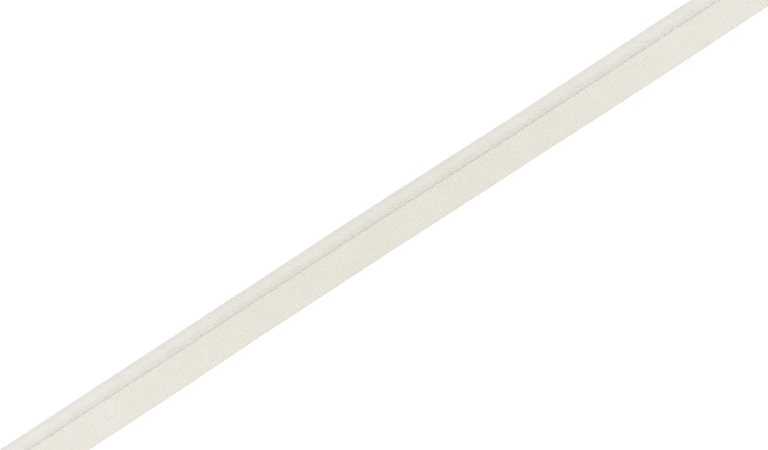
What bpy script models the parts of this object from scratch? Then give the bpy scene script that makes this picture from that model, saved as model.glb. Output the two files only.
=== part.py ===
"""Cut length of flanged cord: a cord of twelve laid strands along the inner edge of a ribbed flange tape.

It lies on its underside, in metres, with +Z up. The cord runs along X, and the flange lies on its -Y side.
The origin is under the middle of the strip, on the surface that it lies on.
"""

import math

import bmesh
import bpy

MM = 0.001

# Driving sizes
LENGTH = 300 * MM
CORD_DIAMETER = 4.76 * MM
FLANGE_SHOWING = 9.53 * MM
FLANGE_THICKNESS = 1.0 * MM
FLANGE_LANDING = 1.5 * MM
SEAM_ABOVE_CORD_MIDDLE = 0.5 * MM
STRANDS = 12
RIB_PITCH = 1.23 * MM
RIBS_PER_STRAND = 2

# Relief and clearances
GROOVE_DEPTH = 0.30 * MM
STRAND_CREST_SHARE = 0.42
FLAT_SPOT_DEPTH = 0.12 * MM
RIB_DEPTH = 0.14 * MM
RIB_LEAN = 0.074
SELVEDGE_NOTCH = 0.10 * MM
SELVEDGE_ROUND = 0.35 * MM
SEAM_GAP = 0.30 * MM

# Worked out from them
CORD_RADIUS = CORD_DIAMETER / 2
CORD_Z = CORD_RADIUS - FLAT_SPOT_DEPTH
OUTER_Y = -CORD_RADIUS - FLANGE_SHOWING
FLANGE_MIDDLE_Y = -CORD_RADIUS - FLANGE_SHOWING / 2
SEAM_Z = CORD_Z + SEAM_ABOVE_CORD_MIDDLE
LAY_LENGTH = STRANDS * RIBS_PER_STRAND * RIB_PITCH
RIBS = round(LENGTH / RIB_PITCH)
STATIONS_PER_RIB = 2
STEPS_PER_LAY = 15
SWEEP_STEPS = math.ceil(STEPS_PER_LAY * LENGTH / LAY_LENGTH)
SHARP_ANGLE = math.radians(50)

# How the strip wanders as it lies: at each x, how far the cord and the flange's outer edge stand off straight
WANDER = [
    {"x": -150 * MM, "cord": -0.05 * MM, "edge": -0.45 * MM},
    {"x": -130 * MM, "cord": -0.05 * MM, "edge": -0.45 * MM},
    {"x": -87 * MM, "cord": 0.03 * MM, "edge": -0.28 * MM},
    {"x": -42 * MM, "cord": 0.18 * MM, "edge": 0.11 * MM},
    {"x": -6 * MM, "cord": 0.25 * MM, "edge": 0.19 * MM},
    {"x": 30 * MM, "cord": -0.03 * MM, "edge": 0.08 * MM},
    {"x": 48 * MM, "cord": -0.20 * MM, "edge": 0.08 * MM},
    {"x": 75 * MM, "cord": -0.09 * MM, "edge": -0.03 * MM},
    {"x": 102 * MM, "cord": 0.03 * MM, "edge": -0.04 * MM},
    {"x": 129 * MM, "cord": 0.02 * MM, "edge": 0.14 * MM},
    {"x": 150 * MM, "cord": 0.00 * MM, "edge": 0.18 * MM},
]


def wander(x, column):
    """How far the cord or the flange's outer edge stands off straight at x, eased from row to row."""
    x = min(max(x, WANDER[0]["x"]), WANDER[-1]["x"])
    for before, after in zip(WANDER, WANDER[1:]):
        if x <= after["x"]:
            share = (x - before["x"]) / (after["x"] - before["x"])
            eased = share * share * (3 - 2 * share)
            return before[column] + (after[column] - before[column]) * eased


def clear_scene():
    for obj in list(bpy.data.objects):
        bpy.data.objects.remove(obj, do_unlink=True)


def make_material(name, colour, roughness):
    material = bpy.data.materials.new(name)
    material.use_nodes = True
    shader = material.node_tree.nodes["Principled BSDF"]
    shader.inputs["Base Color"].default_value = (*colour, 1.0)
    shader.inputs["Roughness"].default_value = roughness
    shader.inputs["Metallic"].default_value = 0.0
    return material


def add_object(name, mesh, collection, parent, material):
    obj = bpy.data.objects.new(name, mesh)
    collection.objects.link(obj)
    obj.parent = parent
    mesh.materials.append(material)
    mesh.shade_smooth()
    mesh.set_sharp_from_angle(angle=SHARP_ANGLE)
    return obj


def strand_section():
    """The cord's section across X: each strand's groove, then the two shoulders of its crest."""
    points = []
    strand_angle = 2 * math.pi / STRANDS
    crest_half = strand_angle * STRAND_CREST_SHARE / 2
    for strand in range(STRANDS):
        groove = strand * strand_angle
        crest = groove + strand_angle / 2
        for angle, radius in (
            (groove, CORD_RADIUS - GROOVE_DEPTH),
            (crest - crest_half, CORD_RADIUS),
            (crest + crest_half, CORD_RADIUS),
        ):
            points.append((radius * math.cos(angle), radius * math.sin(angle)))
    return points


def laid_cord_mesh():
    """The section swept along X by a Screw modifier, turning once in each lay, and closed at both ends."""
    section = strand_section()
    count = len(section)
    profile = bpy.data.meshes.new("cord_section")
    profile.from_pydata(
        [(-LENGTH / 2, y, z) for y, z in section],
        [(i, (i + 1) % count) for i in range(count)],
        [],
    )
    sweep = bpy.data.objects.new("cord_sweep", profile)
    bpy.context.scene.collection.objects.link(sweep)
    screw = sweep.modifiers.new("lay", "SCREW")
    screw.axis = "X"
    screw.angle = 2 * math.pi * LENGTH / LAY_LENGTH
    screw.screw_offset = LENGTH
    screw.steps = SWEEP_STEPS
    screw.render_steps = SWEEP_STEPS
    screw.use_merge_vertices = False
    graph = bpy.context.evaluated_depsgraph_get()
    mesh = bpy.data.meshes.new_from_object(sweep.evaluated_get(graph))
    bpy.data.objects.remove(sweep, do_unlink=True)

    bm = bmesh.new()
    bm.from_mesh(mesh)
    bmesh.ops.holes_fill(bm, edges=[edge for edge in bm.edges if edge.is_boundary], sides=count)
    bmesh.ops.recalc_face_normals(bm, faces=bm.faces)
    bm.to_mesh(mesh)
    bm.free()
    return mesh


def make_cord(collection, parent, material):
    """The cord, bent along its wander, with the flat spot that its own weight presses into its underside."""
    mesh = laid_cord_mesh()
    mesh.name = "cord"
    for vertex in mesh.vertices:
        vertex.co.y += wander(vertex.co.x, "cord")
        vertex.co.z = max(vertex.co.z, -CORD_Z)
    cord = add_object("cord", mesh, collection, parent, material)
    cord.location = (0.0, 0.0, CORD_Z)
    return cord


def beside_cord(height):
    """How far across from the cord's middle a point at this height keeps the seam's gap to the cord."""
    reach = CORD_RADIUS + SEAM_GAP
    rise = CORD_Z - height
    return math.sqrt(reach * reach - rise * rise)


def flange_point(place, x, station):
    """Y and Z of a point of the section. A valley parts two ribs, and a notch parts two turns of the weft.

    The tape leaves the cord's side a little above its middle and slopes down until its outer edge lies flat.
    """
    in_valley = station % STATIONS_PER_RIB == 0
    between_turns = station % (STATIONS_PER_RIB * RIBS_PER_STRAND) == 0
    valley = RIB_DEPTH if in_valley else 0.0
    seam_top = SEAM_Z + FLANGE_THICKNESS / 2
    seam_foot = SEAM_Z - FLANGE_THICKNESS / 2
    rim = OUTER_Y + wander(x, "edge") + (SELVEDGE_NOTCH if between_turns else 0.0)
    landing = OUTER_Y + wander(x, "edge") + FLANGE_LANDING
    return {
        "inner_top": (wander(x, "cord") - beside_cord(seam_top), seam_top - valley),
        "landing_top": (landing, FLANGE_THICKNESS - valley),
        "shoulder": (rim + SELVEDGE_ROUND, FLANGE_THICKNESS - valley),
        "rim": (rim, FLANGE_THICKNESS - valley - SELVEDGE_ROUND),
        "rim_foot": (rim, 0.0),
        "landing_foot": (landing, 0.0),
        "inner_foot": (wander(x, "cord") - beside_cord(seam_foot), seam_foot),
    }[place]


def make_flange(collection, parent, material):
    """The tape: its seven-point section lofted from station to station, because no two stations are alike."""
    places = ("inner_top", "landing_top", "shoulder", "rim", "rim_foot", "landing_foot", "inner_foot")
    stations = RIBS * STATIONS_PER_RIB
    bm = bmesh.new()
    rings = []
    for station in range(stations + 1):
        x = LENGTH * (station / stations - 0.5)
        ring = []
        for place in places:
            y, z = flange_point(place, x, station)
            lean = RIB_LEAN * (FLANGE_MIDDLE_Y - y)
            ring.append(bm.verts.new((x + lean, y, z)))
        rings.append(ring)
    for ring, following in zip(rings, rings[1:]):
        for i, vertex in enumerate(ring):
            beside = (i + 1) % len(ring)
            bm.faces.new((vertex, ring[beside], following[beside], following[i]))
    bm.faces.new(rings[0])
    bm.faces.new(rings[-1])
    bmesh.ops.recalc_face_normals(bm, faces=bm.faces)
    mesh = bpy.data.meshes.new("flange")
    bm.to_mesh(mesh)
    bm.free()
    return add_object("flange", mesh, collection, parent, material)


def middle_across(pieces):
    """The middle of the pieces' box across Y."""
    sides = [vertex.co.y for piece in pieces for vertex in piece.data.vertices]
    return (max(sides) + min(sides)) / 2


def main():
    clear_scene()
    collection = bpy.data.collections.new("flanged_cord")
    bpy.context.scene.collection.children.link(collection)
    strip = bpy.data.objects.new("strip", None)
    collection.objects.link(strip)
    cord_yarn = make_material("cord_yarn", (0.78, 0.76, 0.71), 0.75)
    flange_tape = make_material("flange_tape", (0.80, 0.77, 0.70), 0.85)
    cord = make_cord(collection, strip, cord_yarn)
    flange = make_flange(collection, strip, flange_tape)
    strip.location = (0.0, -middle_across([cord, flange]), 0.0)
    for piece in (cord, flange):
        print(piece.name, [round(side / MM, 2) for side in piece.dimensions], "mm")


main()
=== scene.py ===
# %% [markdown]
# # A cut length of flanged cord
#
# Flanged cord is the round edging that is sewn into the seams of cushions and curtains. A thick cord
# shows outside the seam, and a flat woven tape, the flange, is caught inside it. This lesson dresses a
# plain model of one, yarn by yarn: the laid strands of the cord, the weft and warp of the tape, and the
# sewing that joins them.
#
# The plain model comes first. It is already at its real size and place, so no piece has to be fitted to
# it afterwards.

# %% Load the plain model
import math

import bpy
import numpy as np
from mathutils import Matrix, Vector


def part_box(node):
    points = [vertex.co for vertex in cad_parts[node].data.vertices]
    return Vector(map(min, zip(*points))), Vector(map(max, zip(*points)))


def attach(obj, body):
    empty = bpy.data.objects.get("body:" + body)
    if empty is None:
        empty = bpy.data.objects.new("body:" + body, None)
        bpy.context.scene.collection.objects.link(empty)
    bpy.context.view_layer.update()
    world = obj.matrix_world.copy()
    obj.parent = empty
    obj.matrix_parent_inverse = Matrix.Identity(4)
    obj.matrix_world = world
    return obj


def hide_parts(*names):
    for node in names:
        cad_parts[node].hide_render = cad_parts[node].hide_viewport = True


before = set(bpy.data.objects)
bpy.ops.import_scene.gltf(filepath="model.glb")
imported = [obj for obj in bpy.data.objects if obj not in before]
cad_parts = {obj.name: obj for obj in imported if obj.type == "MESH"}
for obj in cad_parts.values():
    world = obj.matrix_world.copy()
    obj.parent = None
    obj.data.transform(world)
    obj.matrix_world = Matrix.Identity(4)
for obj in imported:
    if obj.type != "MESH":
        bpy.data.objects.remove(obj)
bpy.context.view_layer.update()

MM = 0.001

# %% [markdown]
# ## Sizes
#
# A trim like this is described by a few sizes: the cord's diameter, how many strands it is laid from, how
# far apart the ribs of the tape are, and how much of the tape shows. The length, the cord's height and
# the heights of the tape's two edges are read from the plain model. Two ribs of the tape go to one strand
# of the cord. That suits a machine that takes one stitch for each strand, while the tape's weft goes
# there and back.

# %% Name the sizes
CORD_RADIUS = 2.38 * MM
STRANDS = 12
RIB_PITCH = 1.23 * MM
RIBS_PER_STRAND = 2
RIB_LEAN = 0.074
FLANGE_SHOWING = 9.53 * MM
TAPE_THICKNESS = 1.0 * MM

LAY_LENGTH = STRANDS * RIBS_PER_STRAND * RIB_PITCH
STRAND_ANGLE = 2 * math.pi / STRANDS

cord_low, cord_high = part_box("cord")
flange_low, flange_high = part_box("flange")
LENGTH = cord_high.x - cord_low.x
PICKS = round(LENGTH / RIB_PITCH)
CORD_Z = cord_high.z - CORD_RADIUS
TAPE_SEAM_Z = flange_high.z - TAPE_THICKNESS / 2
TAPE_EDGE_Z = flange_low.z + TAPE_THICKNESS / 2
print(f"length {LENGTH / MM:.1f} mm, {PICKS} ribs, and one lay in {LAY_LENGTH / MM:.2f} mm")

# %% [markdown]
# ## The wander of the strip
#
# No trim lies quite straight. The cord snakes by a quarter of a millimetre, and the tape's outer edge by
# half a millimetre, over a few centimetres. The plain model follows the same short table. It could be a
# curve object, but a table with easing between its rows works on a whole array of places at once, and
# every yarn can share it.

# %% Set out the wander
WANDER = [
    {"x": -150 * MM, "cord": -0.05 * MM, "edge": -0.45 * MM},
    {"x": -130 * MM, "cord": -0.05 * MM, "edge": -0.45 * MM},
    {"x": -87 * MM, "cord": 0.03 * MM, "edge": -0.28 * MM},
    {"x": -42 * MM, "cord": 0.18 * MM, "edge": 0.11 * MM},
    {"x": -6 * MM, "cord": 0.25 * MM, "edge": 0.19 * MM},
    {"x": 30 * MM, "cord": -0.03 * MM, "edge": 0.08 * MM},
    {"x": 48 * MM, "cord": -0.20 * MM, "edge": 0.08 * MM},
    {"x": 75 * MM, "cord": -0.09 * MM, "edge": -0.03 * MM},
    {"x": 102 * MM, "cord": 0.03 * MM, "edge": -0.04 * MM},
    {"x": 129 * MM, "cord": 0.02 * MM, "edge": 0.14 * MM},
    {"x": 150 * MM, "cord": 0.00 * MM, "edge": 0.18 * MM},
]


def wander(x, column):
    """How far the cord or the tape's outer edge stands off straight, for places along the strip."""
    places = np.array([row["x"] for row in WANDER])
    offsets = np.array([row[column] for row in WANDER])
    x = np.clip(x, places[0], places[-1])
    row = np.clip(np.searchsorted(places, x, side="right") - 1, 0, len(places) - 2)
    share = (x - places[row]) / (places[row + 1] - places[row])
    eased = share * share * (3 - 2 * share)
    return offsets[row] + (offsets[row + 1] - offsets[row]) * eased


swings = [row["cord"] for row in WANDER]
CORD_Y = (cord_low.y + cord_high.y) / 2 - (max(swings) + min(swings)) / 2
SELVEDGE_Y = CORD_Y - CORD_RADIUS - FLANGE_SHOWING
TAPE_MIDDLE_Y = CORD_Y - CORD_RADIUS - FLANGE_SHOWING / 2
print(f"the cord's middle is {CORD_Y / MM:.2f} mm from the strip's middle")

# %% [markdown]
# ## The camera
#
# The photograph looks straight down on the strip, and shows no perspective: both ends are as wide as the
# middle. A long lens from far above does the same, and is kinder to other views than a camera with no
# perspective at all. The camera is rolled, so that the strip climbs across the frame at its angle, and
# the cord is on its upper side. Cameras, lamps and meshes all join the scene in one way, so a small
# helper does it.

# %% Place the camera
PHOTO_WIDTH_PX = 768
STRIP_WIDTH_PX = 47.8
STRIP_ANGLE = math.radians(33.04)
PHOTO_MIDDLE_FROM_CORD_EDGE_PX = 21.2
LENS_MM = 300
SENSOR_MM = 36
FARTHEST_SEEN = 100


def add_to_scene(name, data):
    """A new object with this mesh, camera or lamp, in the scene."""
    added = bpy.data.objects.new(name, data)
    bpy.context.scene.collection.objects.link(added)
    return added


px_size = (2 * CORD_RADIUS + FLANGE_SHOWING) / STRIP_WIDTH_PX
camera_distance = PHOTO_WIDTH_PX * px_size * LENS_MM / SENSOR_MM
camera_y = CORD_Y + CORD_RADIUS - PHOTO_MIDDLE_FROM_CORD_EDGE_PX * px_size
camera_data = bpy.data.cameras.new("camera")
camera_data.lens = LENS_MM
camera_data.sensor_width = SENSOR_MM
camera_data.clip_end = FARTHEST_SEEN
camera = add_to_scene("camera", camera_data)
camera.location = (0, camera_y, camera_distance)
camera.rotation_euler = (0, 0, -STRIP_ANGLE)
bpy.context.scene.camera = camera
print(f"the camera is {camera_distance:.3f} m up, and a pixel is {px_size / MM:.3f} mm")

# %% [markdown]
# ## From rings to yarn
#
# Every yarn here is a row of rings joined into a tube and closed at both ends. A curve with a bevel would
# be quicker to write, but its section can't change along the way, and a real yarn is pressed flat where
# it crosses another. So the rings are worked out first, as one array, and one helper skins them all. It
# also lays a UV map on the yarn: how far along it is, in millimetres, and how far round. The finish needs
# that to follow each yarn.
#
# Faces come first: four-sided ones from ring to ring, and one cap at each end.

# %% Join rings into a tube
CAP_AROUND = 0.5


def around_ring(points, turns=1):
    """How far round the yarn each point of a ring is, and the first once more, for the UV map."""
    return np.linspace(0, turns, points + 1)


def tube(yarn, first):
    """Faces of one tube, with corners numbered from first on, and the UV places of those corners."""
    steps, points = yarn["rings"].shape[:2]
    grid = first + np.arange(steps * points).reshape(steps, points)
    beside = np.roll(grid, -1, axis=1)
    quads = np.stack([grid[:-1], beside[:-1], beside[1:], grid[1:]], axis=-1)
    along = np.broadcast_to(yarn["along"][:, None] / MM, (steps, points))
    here = np.broadcast_to(yarn["around"][:-1], (steps, points))
    onward = np.broadcast_to(yarn["around"][1:], (steps, points))
    map_u = np.stack([along[:-1], along[:-1], along[1:], along[1:]], axis=-1)
    map_v = np.stack([here[:-1], onward[:-1], onward[1:], here[1:]], axis=-1)
    faces = quads.reshape(-1, 4).tolist()
    places = [np.stack([map_u, map_v], axis=-1).reshape(-1, 2)]
    for ring, cap in ((0, grid[0][::-1]), (-1, grid[-1])):
        faces.append(cap.tolist())
        places.append(np.stack([along[ring], np.full(points, CAP_AROUND)], axis=-1))
    return faces, places


# %% [markdown]
# ## From tubes to a piece
#
# Twelve hundred fibres as twelve hundred objects would be slow to handle, so all the yarns of one kind
# are one mesh. They stay separate tubes in it.

# %% Skin yarns as one piece
def skin(name, yarns):
    """One object of many tubes. A yarn has rings (steps, points, 3), along (steps), around (points + 1)."""
    corners = []
    faces = []
    places = []
    count = 0
    for yarn in yarns:
        tube_faces, tube_places = tube(yarn, count)
        corners.append(yarn["rings"].reshape(-1, 3))
        faces += tube_faces
        places += tube_places
        count += len(corners[-1])
    mesh = bpy.data.meshes.new(name)
    mesh.from_pydata(np.concatenate(corners).tolist(), [], faces)
    yarn_map = mesh.uv_layers.new(name="yarn")
    yarn_map.uv.foreach_set("vector", np.concatenate(places).astype(np.float32).ravel())
    mesh.shade_smooth()
    print(name, "has", len(yarns), "yarns and", sum(len(face) - 2 for face in faces), "triangles")
    return add_to_scene(name, mesh)


# %% [markdown]
# ## Unevenness
#
# Spun yarn is a little thicker here and thinner there. White noise would look like damage, so the
# unevenness is a few waves of unlike length with random starts. One seeded generator draws them all, and
# the lesson gives the same strip each time.

# %% Make slow unevenness
SEED = 11441
WAVES = 3
EACH_SHORTER_BY = 2.3
EACH_WEAKER_BY = 1.6
WAVES_TOGETHER = 1.9

draw = np.random.default_rng(SEED)


def uneven(x, longest, amount):
    """Three waves along x, each shorter and weaker than the last. They stay within about the amount."""
    total = 0
    for wave in range(WAVES):
        length = longest / EACH_SHORTER_BY**wave
        total = total + np.sin(2 * np.pi * (x / length + draw.random())) / EACH_WEAKER_BY**wave
    return amount * total / WAVES_TOGETHER


# %% [markdown]
# ## The back of a strand
#
# Twelve strands are laid to the right round the cord's middle. Each is three yarns wide, and the strands
# are packed so tightly that their sides are flat against each other and only their backs are round. A
# back is therefore an arc with three small humps, one for each yarn, and it falls away into a groove at
# both sides.
#
# The grooves aren't alike all round. On the seam's side the stitches pull the cord in and open them wide.
# On top the strands lie almost flush, and on the cord's outer side they are a little rounder. A
# displacement map could carve such grooves, but a strand's own turn says which way each ring faces, so
# plain arithmetic will do.

# %% Shape the back of a strand
YARNS_PER_STRAND = 3
BACK_SEGMENTS = 6 * YARNS_PER_STRAND
BACK_ROUNDNESS = 0.985
GROOVE_DEPTH = 0.045 * MM
OUTER_SIDE = 0.0
OUTER_GROOVE_DEPTH = 0.24 * MM
OUTER_GROOVE_POWER = 3
SEAM_SIDE = math.radians(150)
SEAM_GROOVE_DEPTH = 0.48 * MM
SEAM_GROOVE_POWER = 6
YARN_DIP = 0.03 * MM
SEAM_YARN_DIP = 0.16 * MM
SEAM_DIP_POWER = 2.5

across_back = np.linspace(-1, 1, BACK_SEGMENTS + 1)
yarn_place = (across_back + 1) / 2 * YARNS_PER_STRAND
round_back = 1 - np.sqrt(1 - (BACK_ROUNDNESS * across_back) ** 2)
dip_between_yarns = 1 - np.sin(np.pi * (yarn_place % 1))


def facing(turn, side, power):
    """How much each ring faces this side of the cord, from 0 to 1. A higher power narrows the side."""
    return np.clip(np.cos(turn - side), 0, 1)[:, None] ** power


def back_depth(turn, tightness):
    """How far each point of each ring's back lies below the strand's crest."""
    seam_groove = SEAM_GROOVE_DEPTH * facing(turn, SEAM_SIDE, SEAM_GROOVE_POWER)
    outer_groove = OUTER_GROOVE_DEPTH * facing(turn, OUTER_SIDE, OUTER_GROOVE_POWER)
    groove = GROOVE_DEPTH + (seam_groove + outer_groove) * tightness
    dip = YARN_DIP + SEAM_YARN_DIP * tightness * facing(turn, SEAM_SIDE, SEAM_DIP_POWER)
    return groove * round_back + dip * dip_between_yarns


# %% [markdown]
# ## The strands of the cord
#
# With its back shaped, a ring is a piece of pie: the back, then two straight sides that run in towards
# the middle. It turns once in each lay as it travels. Near the seam it is also narrower, so the strands
# part there. Where the cord lies on the table, its own weight presses a flat spot. Every other strand is
# pressed a hair more, so that the flats of two neighbours don't lie in one plane.

# %% Lay the strands
STRAND_STEPS = 560
STRAND_ROOT = 1.50 * MM
STRAND_FILL = 1.05
SEAM_PARTING = 0.17
STRAND_SHIFT = math.radians(0.7)
SHIFT_WAVE = 23 * MM
STRAND_SWELL = 0.035 * MM
SWELL_WAVE = 17 * MM
TIGHTNESS_CHANGE = 0.4
TIGHTNESS_WAVE = 11 * MM
CUT_UNEVENNESS = 0.35 * MM
FLAT_SPOT_STEP = 0.01 * MM
PLACES_PAST_BACK = (0.5, 1.5, 2.0)


def strand_rings(strand):
    """The rings of one strand, with how far along each is, and how far round its points are in yarns."""
    start, end = draw.uniform(0, CUT_UNEVENNESS, 2)
    x = np.linspace(-LENGTH / 2 - start, LENGTH / 2 + end, STRAND_STEPS + 1)
    turn = 2 * np.pi * (x + LENGTH / 2) / LAY_LENGTH + (strand + 0.5) * STRAND_ANGLE
    turn = turn + uneven(x, SHIFT_WAVE, STRAND_SHIFT)
    crest = CORD_RADIUS + uneven(x, SWELL_WAVE, STRAND_SWELL)
    tightness = (1 + uneven(x, TIGHTNESS_WAVE, TIGHTNESS_CHANGE))[:, None]

    back = crest[:, None] - back_depth(turn, tightness)
    radii = np.concatenate([back, np.full((len(x), 2), STRAND_ROOT)], axis=1)
    fill = STRAND_FILL - SEAM_PARTING * facing(turn, SEAM_SIDE, SEAM_GROOVE_POWER)
    turned = turn[:, None] + fill * STRAND_ANGLE / 2 * np.concatenate([across_back, [1, -1]])
    y = CORD_Y + wander(x, "cord")[:, None] + radii * np.cos(turned)
    z = np.maximum(CORD_Z + radii * np.sin(turned), FLAT_SPOT_STEP * (strand % 2))
    rings = np.stack([np.broadcast_to(x[:, None], y.shape), y, z], axis=-1)

    slope = 2 * np.pi * CORD_RADIUS / LAY_LENGTH
    around = np.concatenate([yarn_place, YARNS_PER_STRAND + np.array(PLACES_PAST_BACK)])
    return {"rings": rings, "along": x * math.hypot(1, slope), "around": around}


strands = [skin(f"strand_{strand + 1:02d}", [strand_rings(strand)]) for strand in range(STRANDS)]

# %% [markdown]
# ## The middle of the cord
#
# The strands leave a round hole down the middle of the cord. It is full of soft yarns that are laid the
# other way and more slowly, one in the middle with rings of six and twelve round it. They show only where
# the cord is cut, and each is cut off at its own length. They are plain round tubes, because nothing
# presses on them that the eye can see.

# %% Fill the cord's middle
FILLING_YARN_RADIUS = 0.33 * MM
FILLING_SPACING = 0.62 * MM
FILLING_RINGS = (1, 2)
YARNS_IN_FIRST_RING = 6
FILLING_LAY = 60 * MM
FILLING_PROUD = 0.25 * MM
FILLING_SUNK = 0.30 * MM
FILLING_POINTS = 12
FILLING_STEPS = 60
FILLING_MAP_TURNS = 2


def upright_rings(line, radius, points):
    """Round rings about a line that runs nearly along X. Each stands square to X."""
    angles = 2 * np.pi * np.arange(points) / points
    ring = np.stack([np.zeros(points), np.cos(angles), np.sin(angles)], axis=-1)
    return line[:, None] + radius * ring


def filling_yarn(ring, angle):
    """One filling yarn, in this ring round the middle and starting at this angle."""
    sunk = draw.uniform(-FILLING_PROUD, FILLING_SUNK, 2)
    x = np.linspace(-LENGTH / 2 + sunk[0], LENGTH / 2 - sunk[1], FILLING_STEPS + 1)
    turn = angle - 2 * np.pi * x / FILLING_LAY
    y = CORD_Y + wander(x, "cord") + ring * FILLING_SPACING * np.cos(turn)
    z = CORD_Z + ring * FILLING_SPACING * np.sin(turn)
    rings = upright_rings(np.stack([x, y, z], axis=-1), FILLING_YARN_RADIUS, FILLING_POINTS)
    return {"rings": rings, "along": x, "around": around_ring(FILLING_POINTS, FILLING_MAP_TURNS)}


filling_yarns = [filling_yarn(0, 0.0)]
for ring in FILLING_RINGS:
    in_ring = YARNS_IN_FIRST_RING * ring
    filling_yarns += [filling_yarn(ring, 2 * math.pi * place / in_ring) for place in range(in_ring)]
filling = skin("cord_filling", filling_yarns)

# %% [markdown]
# ## Where a place on the tape is
#
# The tape leaves the cord's side a little above its middle, and slopes down until its selvedge lies on
# the table. Both of its edges wander, so a place across it is given as a share of its width: 0 at the
# seam and 1 at the selvedge. The ribs don't run quite square across, either. Each leans a little, its
# outer end ahead of its inner. Beside the cord the stitches pull the tape down a little into the seam.

# %% Set out the tape
TAPE_TUCK = 0.13 * MM
LANDING_SHARE = 0.85
SLOPE_POWER = 1.12
SEAM_PULL = 0.08 * MM
PULL_SHARE = 0.12


def tape_y(x, share):
    """Y of a place on the tape, at this share of the way from the seam to the selvedge."""
    inner = CORD_Y - CORD_RADIUS + TAPE_TUCK + wander(x, "cord")
    outer = SELVEDGE_Y + wander(x, "edge")
    return inner + share * (outer - inner)


def lean(y):
    """How far along a rib stands at this Y from where it is in the middle of the tape."""
    return RIB_LEAN * (TAPE_MIDDLE_Y - y)


def tape_z(share):
    """Height of the middle of the tape's thickness. The slope is nearly straight, and lands softly."""
    rise = TAPE_SEAM_Z - TAPE_EDGE_Z
    slope = TAPE_EDGE_Z + rise * np.clip(1 - share / LANDING_SHARE, 0, None) ** SLOPE_POWER
    return slope - SEAM_PULL * np.clip(1 - share / PULL_SHARE, 0, None) ** 2


TAPE_RUN = float(tape_y(0.0, 0.0) - tape_y(0.0, 1.0))

# %% [markdown]
# ## The weft, which makes the ribs
#
# One soft, thick yarn is carried there and back across the tape, and each crossing, a pick, is a rib. The
# weft is pressed down wherever a warp end passes over it, and rises where one passes under it. Its
# section is flat and nearly square, because it is beaten up hard against its neighbours. A curve with a
# bevel can't spread like that, so each step here has a middle, and how far it reaches to its left.

# %% Lay one pick
WARP_ENDS = 24
PICK_SAMPLES = 38
WEFT_HALF_WIDTH = 0.68 * MM
WEFT_WIDTH_CHANGE = 0.02
WEFT_RISE = 0.05 * MM
TURN_SHARE = 0.055
PICK_BOW = 0.03 * MM
BOW_WAVE = 9 * MM


def pick_steps(pick):
    """Middles and left halves of one pick. Even picks run out to the selvedge, and odd ones back."""
    outward = pick % 2 == 0
    sign = 1 if outward else -1
    share = np.linspace(TURN_SHARE, 1 - TURN_SHARE, PICK_SAMPLES + 1)[::sign]
    x0 = -LENGTH / 2 + (pick + 0.5) * RIB_PITCH
    y = tape_y(x0, share)
    x = x0 + lean(y) + uneven(y, BOW_WAVE, PICK_BOW)
    z = tape_z(share) - sign * WEFT_RISE * np.cos(np.pi * (share * WARP_ENDS - 0.5))
    left = np.zeros((len(x), 2))
    width_change = draw.uniform(-WEFT_WIDTH_CHANGE, WEFT_WIDTH_CHANGE)
    left[:, 0] = sign * WEFT_HALF_WIDTH * (1 + width_change)
    return np.stack([x, y, z], axis=-1), left


# %% [markdown]
# ## Turning the weft
#
# At the selvedge the weft turns after every second rib, and that edge is a row of tiny scallops. It also
# turns at the inner edge, under the cord. The outer side of a turn is nearly square and its inner side is
# almost a point, so the yarn fans round the corner. Both sides are one rounded rectangle, drawn large and
# small.

# %% Turn the weft
TURN_STEPS = 6
TURN_SQUARENESS = 0.5
TURN_HEART = 0.1
SELVEDGE_REACH = 1.08
INNER_REACH = 1.0
TURN_UNEVENNESS = 0.10


def squared(wave, squareness):
    """A cosine or sine pressed towards a square one."""
    return np.sign(wave) * np.abs(wave) ** squareness


def turn_steps(pick):
    """Middles and left halves of the turn after this pick."""
    at_selvedge = pick % 2 == 0
    bend = np.linspace(0, np.pi, TURN_STEPS + 2)[1:-1]
    x0 = -LENGTH / 2 + (pick + 1) * RIB_PITCH
    reach = (SELVEDGE_REACH if at_selvedge else INNER_REACH) - draw.uniform(0, TURN_UNEVENNESS)
    outer_half = RIB_PITCH / 2 + WEFT_HALF_WIDTH
    inner_half = RIB_PITCH / 2 - WEFT_HALF_WIDTH
    sides = []
    for half_width, depth in ((outer_half, reach), (inner_half, TURN_HEART)):
        x = x0 - half_width * squared(np.cos(bend), TURN_SQUARENESS)
        share = TURN_SHARE * (1 - depth * squared(np.sin(bend), TURN_SQUARENESS))
        share = 1 - share if at_selvedge else share
        y = tape_y(x, share)
        sides.append(np.stack([x + lean(y), y, tape_z(share)], axis=-1))
    outer, inner = sides
    middle = (outer + inner) / 2
    left = (inner - outer) / 2 if at_selvedge else (outer - inner) / 2
    return middle, left[:, :2]


# %% [markdown]
# ## One yarn from end to end
#
# Picks and turns follow one another in a single line of rings, 244 ribs long. The same helper makes the
# rings of every flat yarn, so the warp can use it too.

# %% Weave the weft
WEFT_HALF_HEIGHT = 0.38 * MM
WEFT_POINTS = 8
WEFT_SQUARENESS = 0.33


def flat_rings(middles, left, half_height, points, squareness):
    """Rings about these middles: each reaches to its left and right as given, and stands upright in Z."""
    angles = 2 * np.pi * (np.arange(points) + 0.5) / points
    rings = np.repeat(middles[:, None], points, axis=1)
    rings[:, :, :2] += squared(np.cos(angles), squareness)[None, :, None] * left[:, None]
    rings[:, :, 2] += squared(np.sin(angles), squareness) * half_height
    return rings


def length_along(line):
    """How far along a line each of its points is."""
    return np.concatenate([[0], np.cumsum(np.linalg.norm(np.diff(line, axis=0), axis=1))])


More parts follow.
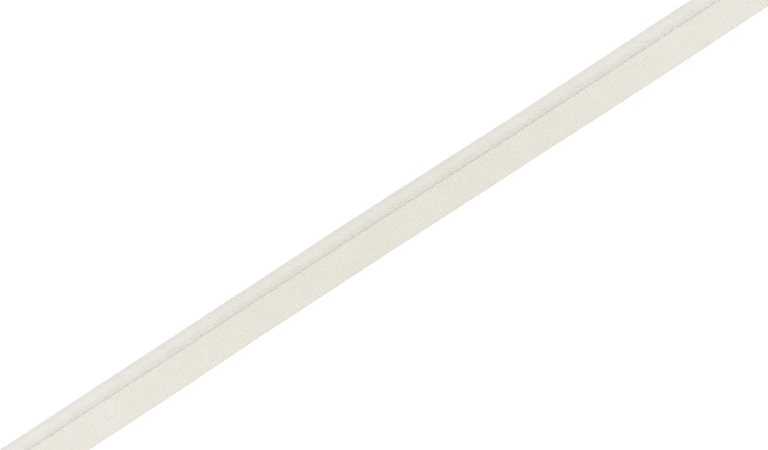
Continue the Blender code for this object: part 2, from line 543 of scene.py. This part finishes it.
steps = [pick_steps(0)]
for pick in range(1, PICKS):
    steps += [turn_steps(pick - 1), pick_steps(pick)]
middles = np.concatenate([middle for middle, left in steps])
left = np.concatenate([left for middle, left in steps])
weft_yarn = {
    "rings": flat_rings(middles, left, WEFT_HALF_HEIGHT, WEFT_POINTS, WEFT_SQUARENESS),
    "along": length_along(middles),
    "around": around_ring(WEFT_POINTS),
}
weft = skin("tape_weft", [weft_yarn])
print(f"the weft is {weft_yarn['along'][-1]:.2f} m of yarn")

# %% [markdown]
# ## The warp
#
# Finer ends run the length of the tape. Each goes over one rib and under the next, and the ends beside it
# do the opposite, which is plain weave. They could be one mesh with a displaced surface, but real ends
# that dive between the ribs catch the light as the cloth does. At the two cuts they stick out past the
# last rib, unevenly. The ends that start over a rib are one piece, and those that start under it are
# another.

# %% Weave the warp
WARP_HALF_WIDTH = 0.18 * MM
WARP_WIDTH_CHANGE = 0.1
WARP_HALF_HEIGHT = 0.09 * MM
WARP_RISE = 0.39 * MM
WARP_SWAY = 0.04 * MM
SWAY_WAVE = 14 * MM
WARP_POINTS = 6
WARP_SQUARENESS = 1.0
WARP_STUB = 0.5 * MM
SHORTEST_STUB_SHARE = 0.2
STUB_DROOP = 0.3 * MM
WARP_ARCH = [
    {"along": 0.07, "height": 0.60},
    {"along": 0.24, "height": 0.93},
    {"along": 0.50, "height": 1.00},
    {"along": 0.76, "height": 0.93},
    {"along": 0.93, "height": 0.60},
]


def warp_end(end):
    """One warp end. It arches over a rib from valley to valley, dives, and arches under the next."""
    before, after = draw.uniform(SHORTEST_STUB_SHARE, 1.0, 2) * WARP_STUB
    picks = np.arange(PICKS)[:, None]
    arch = picks + np.array([row["along"] for row in WARP_ARCH])
    side = np.where((picks + end) % 2 == 0, 1, -1)
    rise = side * np.array([row["height"] for row in WARP_ARCH])
    inside = -LENGTH / 2 + RIB_PITCH * arch.ravel()
    x = np.concatenate([[-LENGTH / 2 - before], inside, [LENGTH / 2 + after]])
    share = (end + 0.5) / WARP_ENDS
    y = tape_y(x, share) + uneven(x, SWAY_WAVE, WARP_SWAY)
    z = tape_z(share) + WARP_RISE * np.concatenate([[0], rise.ravel(), [0]])
    z[[0, -1]] = tape_z(share) - draw.uniform(0, STUB_DROOP, 2)
    middles = np.stack([x + lean(y), y, z], axis=-1)
    half_width = WARP_HALF_WIDTH * (1 + draw.uniform(-WARP_WIDTH_CHANGE, WARP_WIDTH_CHANGE))
    left = np.tile((0, half_width), (len(x), 1))
    rings = flat_rings(middles, left, WARP_HALF_HEIGHT, WARP_POINTS, WARP_SQUARENESS)
    return {"rings": rings, "along": length_along(middles), "around": around_ring(WARP_POINTS)}


warp_over = skin("tape_warp_over", [warp_end(end) for end in range(0, WARP_ENDS, 2)])
warp_under = skin("tape_warp_under", [warp_end(end) for end in range(1, WARP_ENDS, 2)])

# %% [markdown]
# ## The ground of the tape
#
# Between the yarns of a real tape is a haze of fibre, and no light comes through. A thin closed sheet,
# halfway through the tape's thickness, does the work of that haze. It also has the size that the tape was
# woven to, which the yarns don't, because they are far longer than the tape.

# %% Lay the ground
GROUND_HALF_THICKNESS = 0.12 * MM
GROUND_STEPS = 240
GROUND_INSET = 0.2 * MM
GROUND_FROM_SHARE = 0.02
GROUND_TO_SHARE = 0.965
GROUND_ROWS = 5
GROUND_MAP_TURNS = 20

x = np.linspace(-LENGTH / 2 + GROUND_INSET, LENGTH / 2 - GROUND_INSET, GROUND_STEPS + 1)
top = []
for share in np.linspace(GROUND_FROM_SHARE, GROUND_TO_SHARE, GROUND_ROWS):
    z = np.full(len(x), tape_z(share) + GROUND_HALF_THICKNESS)
    top.append(np.stack([x, tape_y(x, share), z], axis=-1))
under = [row - (0, 0, 2 * GROUND_HALF_THICKNESS) for row in top[::-1]]
rings = np.stack(top + under, axis=1)
rings[:, :, 0] += lean(rings[:, :, 1])
ground_around = around_ring(2 * GROUND_ROWS, GROUND_MAP_TURNS)
ground = skin("tape_ground", [{"rings": rings, "along": x, "around": ground_around}])

# %% [markdown]
# ## The path of one stitch
#
# One stitch for each strand holds the tape to the cord. The thread comes up through the tape between two
# ribs, where it has caught a loop of the weft. It crosses the seam and dives into the groove between two
# strands, where it is pulled in tight. Seen from above, it breaks the dark line of the seam into short
# strokes.
#
# A groove's place along the strip depends on the angle round the cord, so the stitch follows the same
# turn as the strands do. Angles are measured from the cord's outer side, over its top, towards the tape.

# %% Follow one stitch
STITCH_PITCH = LAY_LENGTH / STRANDS
STITCH_ANGLE = 5 * STRAND_ANGLE
STITCH_SEAT = CORD_RADIUS - 0.22 * MM
STITCH_FOOT = 0.75 * MM
STITCH_FOOT_CHANGE = 0.15
STITCH_FOOT_SHIFT = 0.06 * MM
STITCH_LIFT = TAPE_THICKNESS / 2 - 0.03 * MM
OUT_OF_TAPE = [
    {"towards_cord": -0.12 * MM, "up": -0.45 * MM},
    {"towards_cord": -0.04 * MM, "up": -0.05 * MM},
    {"towards_cord": 0.16 * MM, "up": 0.09 * MM},
]
OVER_SEAM = {"towards_cord": 0.10 * MM, "up": 0.15 * MM}
INTO_GROOVE = [
    {"turned_back": 0.0, "deeper": 0.0},
    {"turned_back": math.radians(16), "deeper": 0.10 * MM},
    {"turned_back": math.radians(24), "deeper": 0.45 * MM},
]


def groove_point(number, angle, radius):
    """A point at this angle and radius in the groove that stitch number sits in."""
    x = -LENGTH / 2 + number * STITCH_PITCH + LAY_LENGTH * (angle - STITCH_ANGLE) / (2 * math.pi)
    y = CORD_Y + float(wander(x, "cord")) + radius * math.cos(angle)
    return np.array([x, y, CORD_Z + radius * math.sin(angle)])


def stitch_line(number):
    """Middle line of one stitch: up out of the tape, over the seam, and down into the groove."""
    in_groove = []
    for row in INTO_GROOVE:
        angle = STITCH_ANGLE - row["turned_back"]
        in_groove.append(groove_point(number, angle, STITCH_SEAT - row["deeper"]))
    groove_x, groove_y = in_groove[0][:2]
    foot_y = groove_y - STITCH_FOOT * draw.uniform(1 - STITCH_FOOT_CHANGE, 1 + STITCH_FOOT_CHANGE)
    foot_share = (float(tape_y(groove_x, 0.0)) - foot_y) / TAPE_RUN
    foot_x = groove_x + lean(foot_y) + draw.uniform(-STITCH_FOOT_SHIFT, STITCH_FOOT_SHIFT)
    top = float(tape_z(foot_share)) + STITCH_LIFT
    at_foot = [(foot_x, foot_y + row["towards_cord"], top + row["up"]) for row in OUT_OF_TAPE]
    half_way = (foot_x + groove_x) / 2, (foot_y + groove_y) / 2
    over = (half_way[0], half_way[1] + OVER_SEAM["towards_cord"], top + OVER_SEAM["up"])
    return np.array([*at_foot, over, *in_groove])


# %% [markdown]
# ## The sewing
#
# The thread runs in every direction on its way, so its rings can't all stand square to X. They are turned
# to face along the thread. A curve's bevel would do that too, but then the thread would have no UV map of
# its own.

# %% Sew the seam
THREAD_RADIUS = 0.11 * MM
THREAD_POINTS = 6


def round_rings(line, radius, points):
    """Rings square to a line that may run in any direction."""
    ahead = np.gradient(line, axis=0)
    ahead /= np.linalg.norm(ahead, axis=1)[:, None]
    side = np.cross(ahead, (1.0, 0.0, 0.0))
    side /= np.linalg.norm(side, axis=1)[:, None]
    third = np.cross(ahead, side)
    angles = (2 * np.pi * np.arange(points) / points)[None, :, None]
    return line[:, None] + radius * (np.cos(angles) * side[:, None] + np.sin(angles) * third[:, None])


def thin_yarn(line, radius, points):
    """A round yarn of one thickness along this line, ready to be skinned."""
    rings = round_rings(line, radius, points)
    return {"rings": rings, "along": length_along(line), "around": around_ring(points)}


stitch_numbers = range(1, round(LENGTH / STITCH_PITCH))
stitches = skin(
    "seam_stitches",
    [thin_yarn(stitch_line(number), THREAD_RADIUS, THREAD_POINTS) for number in stitch_numbers],
)

# %% [markdown]
# ## The yarn in the seam
#
# A soft yarn lies along the tape's inner edge, and every stitch passes round it. It beds the tape against
# the cord, so the seam is a shallow furrow and not a row of holes. Only its back shows, between one
# strand and the next. It runs nearly straight, so the upright rings of the filling serve again.

# %% Bed the seam
BED_RADIUS = 0.16 * MM
BED_OUT = CORD_RADIUS - 0.13 * MM
BED_UP = 0.40 * MM
BED_SWAY = 0.03 * MM
BED_SWAY_WAVE = 6 * MM
BED_HEAVE = 0.05 * MM
BED_HEAVE_WAVE = 4 * MM
BED_STEPS_PER_RIB = 4
BED_POINTS = 8

x = np.linspace(-LENGTH / 2, LENGTH / 2, BED_STEPS_PER_RIB * PICKS + 1)
y = CORD_Y + wander(x, "cord") - BED_OUT + uneven(x, BED_SWAY_WAVE, BED_SWAY)
z = CORD_Z + BED_UP + uneven(x, BED_HEAVE_WAVE, BED_HEAVE)
rings = upright_rings(np.stack([x, y, z], axis=-1), BED_RADIUS, BED_POINTS)
bed = skin("seam_yarn", [{"rings": rings, "along": x, "around": around_ring(BED_POINTS)}])

# %% [markdown]
# ## One loose fibre
#
# Spun cotton is short fibres, and their ends stand off everywhere as a faint down. It softens the outline
# and the seam. A hair system would do it too, but a few thousand fine arched tubes are plain meshes that
# every program can read. Each starts inside a yarn, arches up, and comes down again or ends in the air.

# %% Arch a fibre
FIBRE_RADIUS = 0.007 * MM
FIBRE_STEPS = 4
FIBRE_POINTS = 3
FIBRE_RISE = 1.6
LEAST_FALL = 0.3
MOST_FALL = 1.2
FIBRE_CURL = 0.7
FIBRE_STRAY = 0.3
SHORTEST_FIBRE = 0.3 * MM
LONGEST_FIBRE = 0.9 * MM


def fibre(root, ahead, out):
    """One fibre from this root. It runs ahead, rises outwards, curls aside, and stays off the table."""
    along = np.linspace(0, 1, FIBRE_STEPS + 1)[:, None]
    length = np.linalg.norm(ahead)
    aside = np.cross(ahead, out) / np.linalg.norm(out) * draw.uniform(-FIBRE_CURL, FIBRE_CURL)
    aside += FIBRE_STRAY * length * draw.uniform(-1, 1, 3) * (1, 1, 0)
    fall = draw.uniform(LEAST_FALL, MOST_FALL)
    line = root + ahead * along + aside * along**2 + out * (FIBRE_RISE * along - fall * along**2)
    line[:, 2] = np.maximum(line[:, 2], FIBRE_RADIUS)
    return thin_yarn(line, FIBRE_RADIUS, FIBRE_POINTS)


# %% [markdown]
# ## The down of the cord and the tape
#
# On the cord a fibre keeps roughly to the lay of its yarn. On the tape it may lie any way, and a quarter
# of the tape's fibres stand out from the selvedge, where the outline shows them.

# %% Scatter the fibres
CORD_FIBRES = 1100
TAPE_FIBRES = 900
EDGE_FIBRES = 300
FIBRE_SPAN = 0.99
CORD_FIBRES_FROM = -30
CORD_FIBRES_TO = 165
CORD_ROOT_DEPTH = 0.08 * MM
CORD_FIBRE_SLANT = 0.3
CORD_FIBRE_HEIGHTS = (0.08 * MM, 0.26 * MM)
TAPE_FIBRE_MARGIN = 0.03
TAPE_ROOT_HEIGHT = 0.36 * MM
TAPE_ROOT_SHARE = 0.9
TAPE_FIBRE_HEIGHTS = (0.08 * MM, 0.22 * MM)
EDGE_SHARE = 0.99
EDGE_LEAST_UP = -0.3
EDGE_MOST_UP = 0.6


def cord_fibre():
    """A fibre that leaves one of the cord's yarns, along its lay."""
    x = draw.uniform(-FIBRE_SPAN, FIBRE_SPAN) * LENGTH / 2
    angle = math.radians(draw.uniform(CORD_FIBRES_FROM, CORD_FIBRES_TO))
    out = np.array([0.0, math.cos(angle), math.sin(angle)])
    tangent = np.array([0.0, -math.sin(angle), math.cos(angle)])
    middle = np.array([x, CORD_Y + float(wander(x, "cord")), CORD_Z])
    root = middle + out * (CORD_RADIUS - CORD_ROOT_DEPTH)
    slant = draw.uniform(-CORD_FIBRE_SLANT, CORD_FIBRE_SLANT)
    slope = 2 * math.pi * CORD_RADIUS / LAY_LENGTH + slant
    ahead = np.array([1.0, 0.0, 0.0]) + slope * tangent
    ahead *= draw.choice([-1, 1]) * draw.uniform(SHORTEST_FIBRE, LONGEST_FIBRE)
    return fibre(root, ahead, out * draw.uniform(*CORD_FIBRE_HEIGHTS))


def tape_fibre(at_edge):
    """A fibre that leaves the top of the tape, or its selvedge."""
    x = draw.uniform(-FIBRE_SPAN, FIBRE_SPAN) * LENGTH / 2
    share = EDGE_SHARE if at_edge else draw.uniform(TAPE_FIBRE_MARGIN, 1 - TAPE_FIBRE_MARGIN)
    up = draw.uniform(EDGE_LEAST_UP, EDGE_MOST_UP) if at_edge else 1.0
    out = np.array([0.0, -1.0 if at_edge else 0.0, up])
    height = (up if at_edge else TAPE_ROOT_SHARE) * TAPE_ROOT_HEIGHT
    root = np.array([x, float(tape_y(x, share)), float(tape_z(share)) + height])
    bearing = draw.uniform(0, 2 * math.pi)
    ahead = np.array([math.cos(bearing), 0.0 if at_edge else math.sin(bearing), 0.0])
    ahead *= draw.uniform(SHORTEST_FIBRE, LONGEST_FIBRE)
    return fibre(root, ahead, out * draw.uniform(*TAPE_FIBRE_HEIGHTS))


cord_down = skin("cord_fibres", [cord_fibre() for number in range(CORD_FIBRES)])
tape_numbers = range(TAPE_FIBRES + EDGE_FIBRES)
tape_down = skin("tape_fibres", [tape_fibre(number < EDGE_FIBRES) for number in tape_numbers])

# %% [markdown]
# ## Helpers for node finishes
#
# A node finish is a small graph, and the same few nodes come back in each: arithmetic, a noise, a relief,
# and a ramp from a deep tone to a light one. Four helpers make them, so that a finish can be read as a
# recipe. They use no image, so a finish looks the same however close the camera comes.

# %% Write the node helpers
SHADER = "Principled BSDF"


def calculate(tree, operation, *values):
    """A Math node. Each value is a number or another node's output."""
    node = tree.nodes.new("ShaderNodeMath")
    node.operation = operation
    for place, value in enumerate(values):
        if isinstance(value, bpy.types.NodeSocket):
            tree.links.new(value, node.inputs[place])
        else:
            node.inputs[place].default_value = value
    return node.outputs[0]


def noise(tree, place, scale, detail):
    """A noise that is read at the place that another node gives."""
    node = tree.nodes.new("ShaderNodeTexNoise")
    node.inputs["Scale"].default_value = scale
    node.inputs["Detail"].default_value = detail
    tree.links.new(place, node.inputs["Vector"])
    return node.outputs["Fac"]


def relief(tree, height, depth, under=None):
    """A Bump node of this depth in metres. It may lie on top of another relief."""
    node = tree.nodes.new("ShaderNodeBump")
    node.inputs["Distance"].default_value = depth
    tree.links.new(height, node.inputs["Height"])
    if under is not None:
        tree.links.new(under, node.inputs["Normal"])
    return node.outputs[0]


def tint(tree, tone, deep, light, deep_up_to, light_from):
    """Give the shader its colour: a ramp from deep to light, between these two tones."""
    node = tree.nodes.new("ShaderNodeValToRGB")
    node.color_ramp.elements[0].position = deep_up_to
    node.color_ramp.elements[0].color = (*deep, 1)
    node.color_ramp.elements[1].position = light_from
    node.color_ramp.elements[1].color = (*light, 1)
    tree.links.new(tone, node.inputs["Fac"])
    tree.links.new(node.outputs["Color"], tree.nodes[SHADER].inputs["Base Color"])


# %% [markdown]
# ## The twist of a yarn
#
# Up close, cotton yarn has slanting lines, where its plies wind round each other, and fine fibres along
# those lines. Both follow the yarn wherever it goes, so they are read from its UV map: a sine of the two
# numbers together is a line that winds round the yarn. An ordinary texture would lie across the yarns
# like a print.

# %% Wind the twist
FIBRES_PER_TWIST = 7.0
FIBRE_CHANGE_PER_MM = 0.9
FIBRE_DETAIL = 3.0


def twist_and_fibres(tree, twist_mm, plies):
    """The twist, from 0 to 1, the fibres along it, and how far round the yarn a place is."""
    yarn_map = tree.nodes.new("ShaderNodeUVMap")
    yarn_map.uv_map = "yarn"
    parts = tree.nodes.new("ShaderNodeSeparateXYZ")
    tree.links.new(yarn_map.outputs["UV"], parts.inputs[0])
    along, around = parts.outputs["X"], parts.outputs["Y"]
    turns = calculate(tree, "DIVIDE", along, twist_mm)
    winding = calculate(tree, "ADD", turns, calculate(tree, "MULTIPLY", around, plies))
    wave = calculate(tree, "SINE", calculate(tree, "MULTIPLY", winding, 2 * math.pi))
    twist = calculate(tree, "MULTIPLY_ADD", wave, 0.5, 0.5)

    place = tree.nodes.new("ShaderNodeCombineXYZ")
    tree.links.new(calculate(tree, "MULTIPLY", winding, FIBRES_PER_TWIST), place.inputs["X"])
    tree.links.new(calculate(tree, "MULTIPLY", along, FIBRE_CHANGE_PER_MM), place.inputs["Y"])
    return twist, noise(tree, place.outputs[0], scale=1.0, detail=FIBRE_DETAIL), around


# %% [markdown]
# ## The tone of a yarn
#
# Undyed cotton is a warm white that is never quite even. Its tone changes slowly where more or less light
# sinks in, and a little from fibre to fibre. As painted shade, it is also a little deeper in the grooves of
# the twist, and in the hollows between yarns that lie side by side. The whole strip is a shade deeper
# about its middle than towards its ends. All of it is added up to one number, which then picks a place on
# the ramp.

# %% Add up the tone
SLOW_SCALE = 180
SLOW_DETAIL = 2.0
SLOW_SHARE = 0.5
FIBRE_SHARE = 0.4
# How much painted shade the grooves of the twist get.
TWIST_SHADE_SHARE = 0.1
# How narrow the painted shade in the hollows between yarns is.
HOLLOW_SHADE_POWER = 6.0
PALE_REACH = 0.1
PALE_MEAN = 0.4


def paleness(tree, place, paling):
    """How much paler the strip is here than it is on the whole. It rises from the middle to both ends."""
    strip = tree.nodes.new("ShaderNodeSeparateXYZ")
    tree.links.new(place, strip.inputs[0])
    from_middle = calculate(tree, "DIVIDE", strip.outputs["X"], PALE_REACH)
    towards_end = calculate(tree, "MINIMUM", calculate(tree, "MULTIPLY", from_middle, from_middle), 1.0)
    return calculate(tree, "MULTIPLY_ADD", towards_end, paling, -PALE_MEAN * paling)


def painted_hollow_shade(tree, around, hollow_shade):
    """Painted shade: how much deeper the tone is in the hollows between yarns that lie side by side."""
    wave = calculate(tree, "COSINE", calculate(tree, "MULTIPLY", around, math.pi))
    narrow = calculate(tree, "POWER", calculate(tree, "ABSOLUTE", wave), HOLLOW_SHADE_POWER)
    return calculate(tree, "MULTIPLY", narrow, hollow_shade)


def yarn_tone(tree, twist, fibres, around, paling, hollow_shade):
    """The tone of the yarn here, from all that changes it."""
    place = tree.nodes.new("ShaderNodeTexCoord").outputs["Object"]
    slow = calculate(tree, "MULTIPLY", noise(tree, place, SLOW_SCALE, SLOW_DETAIL), SLOW_SHARE)
    fine = calculate(tree, "MULTIPLY", fibres, FIBRE_SHARE)
    # Painted shade: the tone is a little deeper in the grooves of the twist.
    twist_groove_shade = calculate(tree, "MULTIPLY", twist, TWIST_SHADE_SHARE)
    both = calculate(tree, "ADD", slow, fine)
    rest = calculate(tree, "ADD", twist_groove_shade, paleness(tree, place, paling))
    total = calculate(tree, "ADD", both, rest)
    return calculate(tree, "SUBTRACT", total, painted_hollow_shade(tree, around, hollow_shade))


# %% [markdown]
# ## Finish of the yarns
#
# The recipe is the same for every yarn of the strip: two reliefs, one tone, and a little sheen, which
# stands for the down of loose fibre ends. What differs is how long a twist is, which way it winds, how
# deep it is, and how matt the yarn. The sewing thread is the smoothest, the cord's yarn has a soft
# lustre, and the tape's weft is dull.

# %% Spin the yarns
YARN_SPECULAR = 0.3
YARN_SHEEN = 0.15
YARN_SHEEN_ROUGHNESS = 0.5
YARN_DEEP_UP_TO = 0.15
YARN_LIGHT_FROM = 0.85
CORD_LIGHT = (0.912, 0.903, 0.855)
CORD_DEEP = (0.830, 0.800, 0.723)
TAPE_LIGHT = (0.888, 0.859, 0.792)
TAPE_DEEP = (0.830, 0.795, 0.718)


def yarn_finish(
    name, light, deep, twist_mm, plies, twist_depth, fibre_depth, roughness, paling, hollow_shade=0.0,
):
    """Twisted yarn: two tones of one colour, a twist every so many millimetres, and both reliefs' depths.

    The tone rises by paling from the strip's middle to its ends. Where several yarns lie side by side,
    the last argument is how much deeper the tone is painted in the hollows between them, as shade.
    """
    material = bpy.data.materials.new(name)
    material.use_nodes = True
    tree = material.node_tree
    shader = tree.nodes[SHADER]
    shader.inputs["Roughness"].default_value = roughness
    shader.inputs["Specular IOR Level"].default_value = YARN_SPECULAR
    shader.inputs["Sheen Weight"].default_value = YARN_SHEEN
    shader.inputs["Sheen Roughness"].default_value = YARN_SHEEN_ROUGHNESS

    twist, fibres, around = twist_and_fibres(tree, twist_mm, plies)
    fine_relief = relief(tree, fibres, fibre_depth)
    tree.links.new(relief(tree, twist, twist_depth, under=fine_relief), shader.inputs["Normal"])
    tone = yarn_tone(tree, twist, fibres, around, paling, hollow_shade)
    tint(tree, tone, deep, light, YARN_DEEP_UP_TO, YARN_LIGHT_FROM)
    print(name, "has a twist every", abs(twist_mm), "mm")
    return material


# The cord's yarns lie side by side, so its tone gets painted shade in the hollows between them.
cord_finish = yarn_finish(
    "cord_yarn", CORD_LIGHT, CORD_DEEP, twist_mm=-1.1, plies=1, twist_depth=0.05 * MM,
    fibre_depth=0.03 * MM, roughness=0.72, paling=0.18, hollow_shade=0.18,
)
weft_finish = yarn_finish(
    "weft_yarn", TAPE_LIGHT, TAPE_DEEP, twist_mm=1.1, plies=2, twist_depth=0.06 * MM,
    fibre_depth=0.04 * MM, roughness=0.82, paling=0.3,
)
warp_finish = yarn_finish(
    "warp_yarn", TAPE_LIGHT, TAPE_DEEP, twist_mm=0.5, plies=2, twist_depth=0.04 * MM,
    fibre_depth=0.02 * MM, roughness=0.75, paling=0.3,
)
thread_finish = yarn_finish(
    "sewing_thread", CORD_LIGHT, CORD_DEEP, twist_mm=0.6, plies=2, twist_depth=0.020 * MM,
    fibre_depth=0.006 * MM, roughness=0.6, paling=0.18,
)

# %% [markdown]
# ## Finish of the loose fibres
#
# A single fibre is too fine for a twist or a relief of its own, and paler than the yarn, because there is
# nothing for it to shade. Only its tone changes, from one fibre to the next.

# %% Write the finish of the down
DOWN_LIGHT = (0.95, 0.942, 0.905)
DOWN_DEEP = (0.90, 0.885, 0.835)
DOWN_ROUGHNESS = 0.5
DOWN_SCALE = 900
DOWN_DETAIL = 2.0
DOWN_DEEP_UP_TO = 0.35
DOWN_LIGHT_FROM = 0.65

down_finish = bpy.data.materials.new("cotton_down")
down_finish.use_nodes = True
down_tree = down_finish.node_tree
down_tree.nodes[SHADER].inputs["Roughness"].default_value = DOWN_ROUGHNESS
down_place = down_tree.nodes.new("ShaderNodeTexCoord").outputs["Object"]
down_tone = noise(down_tree, down_place, DOWN_SCALE, DOWN_DETAIL)
tint(down_tree, down_tone, DOWN_DEEP, DOWN_LIGHT, DOWN_DEEP_UP_TO, DOWN_LIGHT_FROM)
print("the down is", round(DOWN_LIGHT[0] - CORD_LIGHT[0], 3), "paler than the cord's lightest tone")

# %% [markdown]
# ## Dress the plain model
#
# Each new piece rides on the part's one body and gets its finish, and the plain solid that it dresses is
# hidden. The sewing hides no solid, because the plain model has none.

# %% Put the pieces on the part
cord_pieces = strands + [filling, cord_down]
for piece in cord_pieces:
    piece.data.materials.append(down_finish if piece is cord_down else cord_finish)
    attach(piece, "root")
    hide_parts("cord")

tape_finishes = {
    weft: weft_finish,
    warp_over: warp_finish,
    warp_under: warp_finish,
    ground: weft_finish,
    tape_down: down_finish,
}
for piece, finish in tape_finishes.items():
    piece.data.materials.append(finish)
    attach(piece, "root")
    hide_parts("flange")

sewing = (stitches, bed)
for piece in sewing:
    piece.data.materials.append(thread_finish)
    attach(piece, "root")

print("dressed in", len(cord_pieces) + len(tape_finishes) + len(sewing), "pieces")

# %% [markdown]
# ## The floor
#
# The photograph is a bright studio cut-out: the strip lies on white, with hardly a shadow. A white floor
# that also glows a little stays white under the strip's own soft shadow. It is large enough to fill every
# view.

# %% Lay the floor
FLOOR_HALF = 12.0
FLOOR_CORNERS = ((-1, -1), (1, -1), (1, 1), (-1, 1))
FLOOR_DROP = 0.05 * MM
FLOOR_WHITE = (0.85, 0.85, 0.85, 1)
FLOOR_ROUGHNESS = 0.9
FLOOR_GLOW = 0.25
WHITE = (1, 1, 1, 1)

floor_mesh = bpy.data.meshes.new("floor")
floor_mesh.from_pydata([(FLOOR_HALF * x, FLOOR_HALF * y, 0) for x, y in FLOOR_CORNERS], [], [(0, 1, 2, 3)])
floor = add_to_scene("floor", floor_mesh)
floor.location.z = -FLOOR_DROP
white_sweep = bpy.data.materials.new("white_sweep")
white_sweep.use_nodes = True
sweep_shader = white_sweep.node_tree.nodes[SHADER]
sweep_shader.inputs["Base Color"].default_value = FLOOR_WHITE
sweep_shader.inputs["Roughness"].default_value = FLOOR_ROUGHNESS
sweep_shader.inputs["Emission Color"].default_value = WHITE
sweep_shader.inputs["Emission Strength"].default_value = FLOOR_GLOW
floor.data.materials.append(white_sweep)
print("the floor is", 2 * FLOOR_HALF, "m wide")

# %% [markdown]
# ## The light
#
# The light is a wide, even sky with one large soft lamp overhead, so that the cord is bright on its back
# and darkens gently towards its outer side and into the seam. The standard view keeps the whites as
# bright as the photograph has them. A filmic one would grey them.

# %% Light the studio
SKY_STRENGTH = 0.64
LAMP_SIZE = 1.6
LAMP_WATTS = 17.5
LAMP_PLACE = (-0.2, 0.0, 2.0)

world = bpy.data.worlds.new("studio")
bpy.context.scene.world = world
world.use_nodes = True
sky = world.node_tree.nodes["Background"]
sky.inputs["Color"].default_value = WHITE
sky.inputs["Strength"].default_value = SKY_STRENGTH

lamp_data = bpy.data.lights.new("soft_lamp", "AREA")
lamp_data.size = LAMP_SIZE
lamp_data.energy = LAMP_WATTS
lamp = add_to_scene("soft_lamp", lamp_data)
lamp.location = LAMP_PLACE
lamp.rotation_euler = lamp.location.to_track_quat("Z", "Y").to_euler()
bpy.context.scene.view_settings.view_transform = "Standard"
print("the lamp hangs", LAMP_PLACE[2], "m above the strip")
